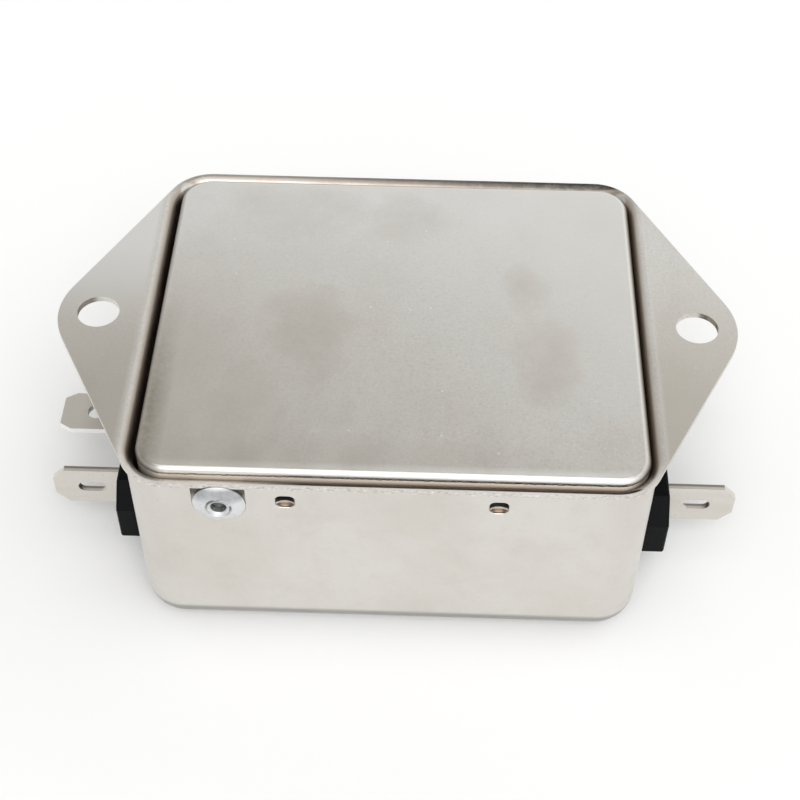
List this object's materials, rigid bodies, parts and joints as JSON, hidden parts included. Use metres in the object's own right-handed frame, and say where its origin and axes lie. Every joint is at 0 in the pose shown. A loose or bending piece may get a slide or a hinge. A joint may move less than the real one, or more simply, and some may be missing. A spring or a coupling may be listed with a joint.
{
  "type": "emi line filter",
  "caption": "Chassis-mount power line filter in a drawn steel can, with flange ears, a pressed-in cover and push-on tabs at both ends.",
  "frame": {"origin": "centre of the outside of the can's closed face, on which the filter lies", "axes": "+X from the line end, which has the earth tab, to the load end; +Y towards the long side without the rivet; +Z from the closed face to the flange and cover"},
  "size_m": [0.0891, 0.0542, 0.0301],
  "materials": {
    "nickel_plated_steel": "satin, dull nickel plate",
    "rivet_aluminium": "matte",
    "mandrel_steel": "dark, broken end",
    "black_moulding": "semi-matte moulding",
    "plated_brass": "dull tin or nickel plate",
    "board_laminate": "matte laminate",
    "solder": "bright",
    "coated_ferrite": "satin coating",
    "choke_moulding": "matte",
    "enamelled_copper": "glossy enamel",
    "capacitor_box": "semi-gloss",
    "capacitor_coating": "semi-gloss coating",
    "resistor_coating": "semi-gloss coating",
    "insulating_film": "matte film"
  },
  "bodies": {
    "root": {"can": "nickel_plated_steel", "cover": "nickel_plated_steel", "rivet_body": "rivet_aluminium", "rivet_mandrel": "mandrel_steel", "line_terminal_block": "black_moulding", "load_terminal_block": "black_moulding", "line_tab_live": "plated_brass", "line_tab_neutral": "plated_brass", "load_tab_live": "plated_brass", "load_tab_neutral": "plated_brass", "earth_tab": "plated_brass", "circuit_board": "board_laminate", "solder_joints": "solder", "choke_core": "coated_ferrite", "choke_holder": "choke_moulding", "live_winding": "enamelled_copper", "neutral_winding": "enamelled_copper", "x_capacitor": "capacitor_box", "y_capacitor_live": "capacitor_coating", "y_capacitor_neutral": "capacitor_coating", "bleeder_resistor": "resistor_coating", "earth_link": "enamelled_copper", "insulating_sheet": "insulating_film", "insulating_liner": "insulating_film"}
  },
  "joints": []
}
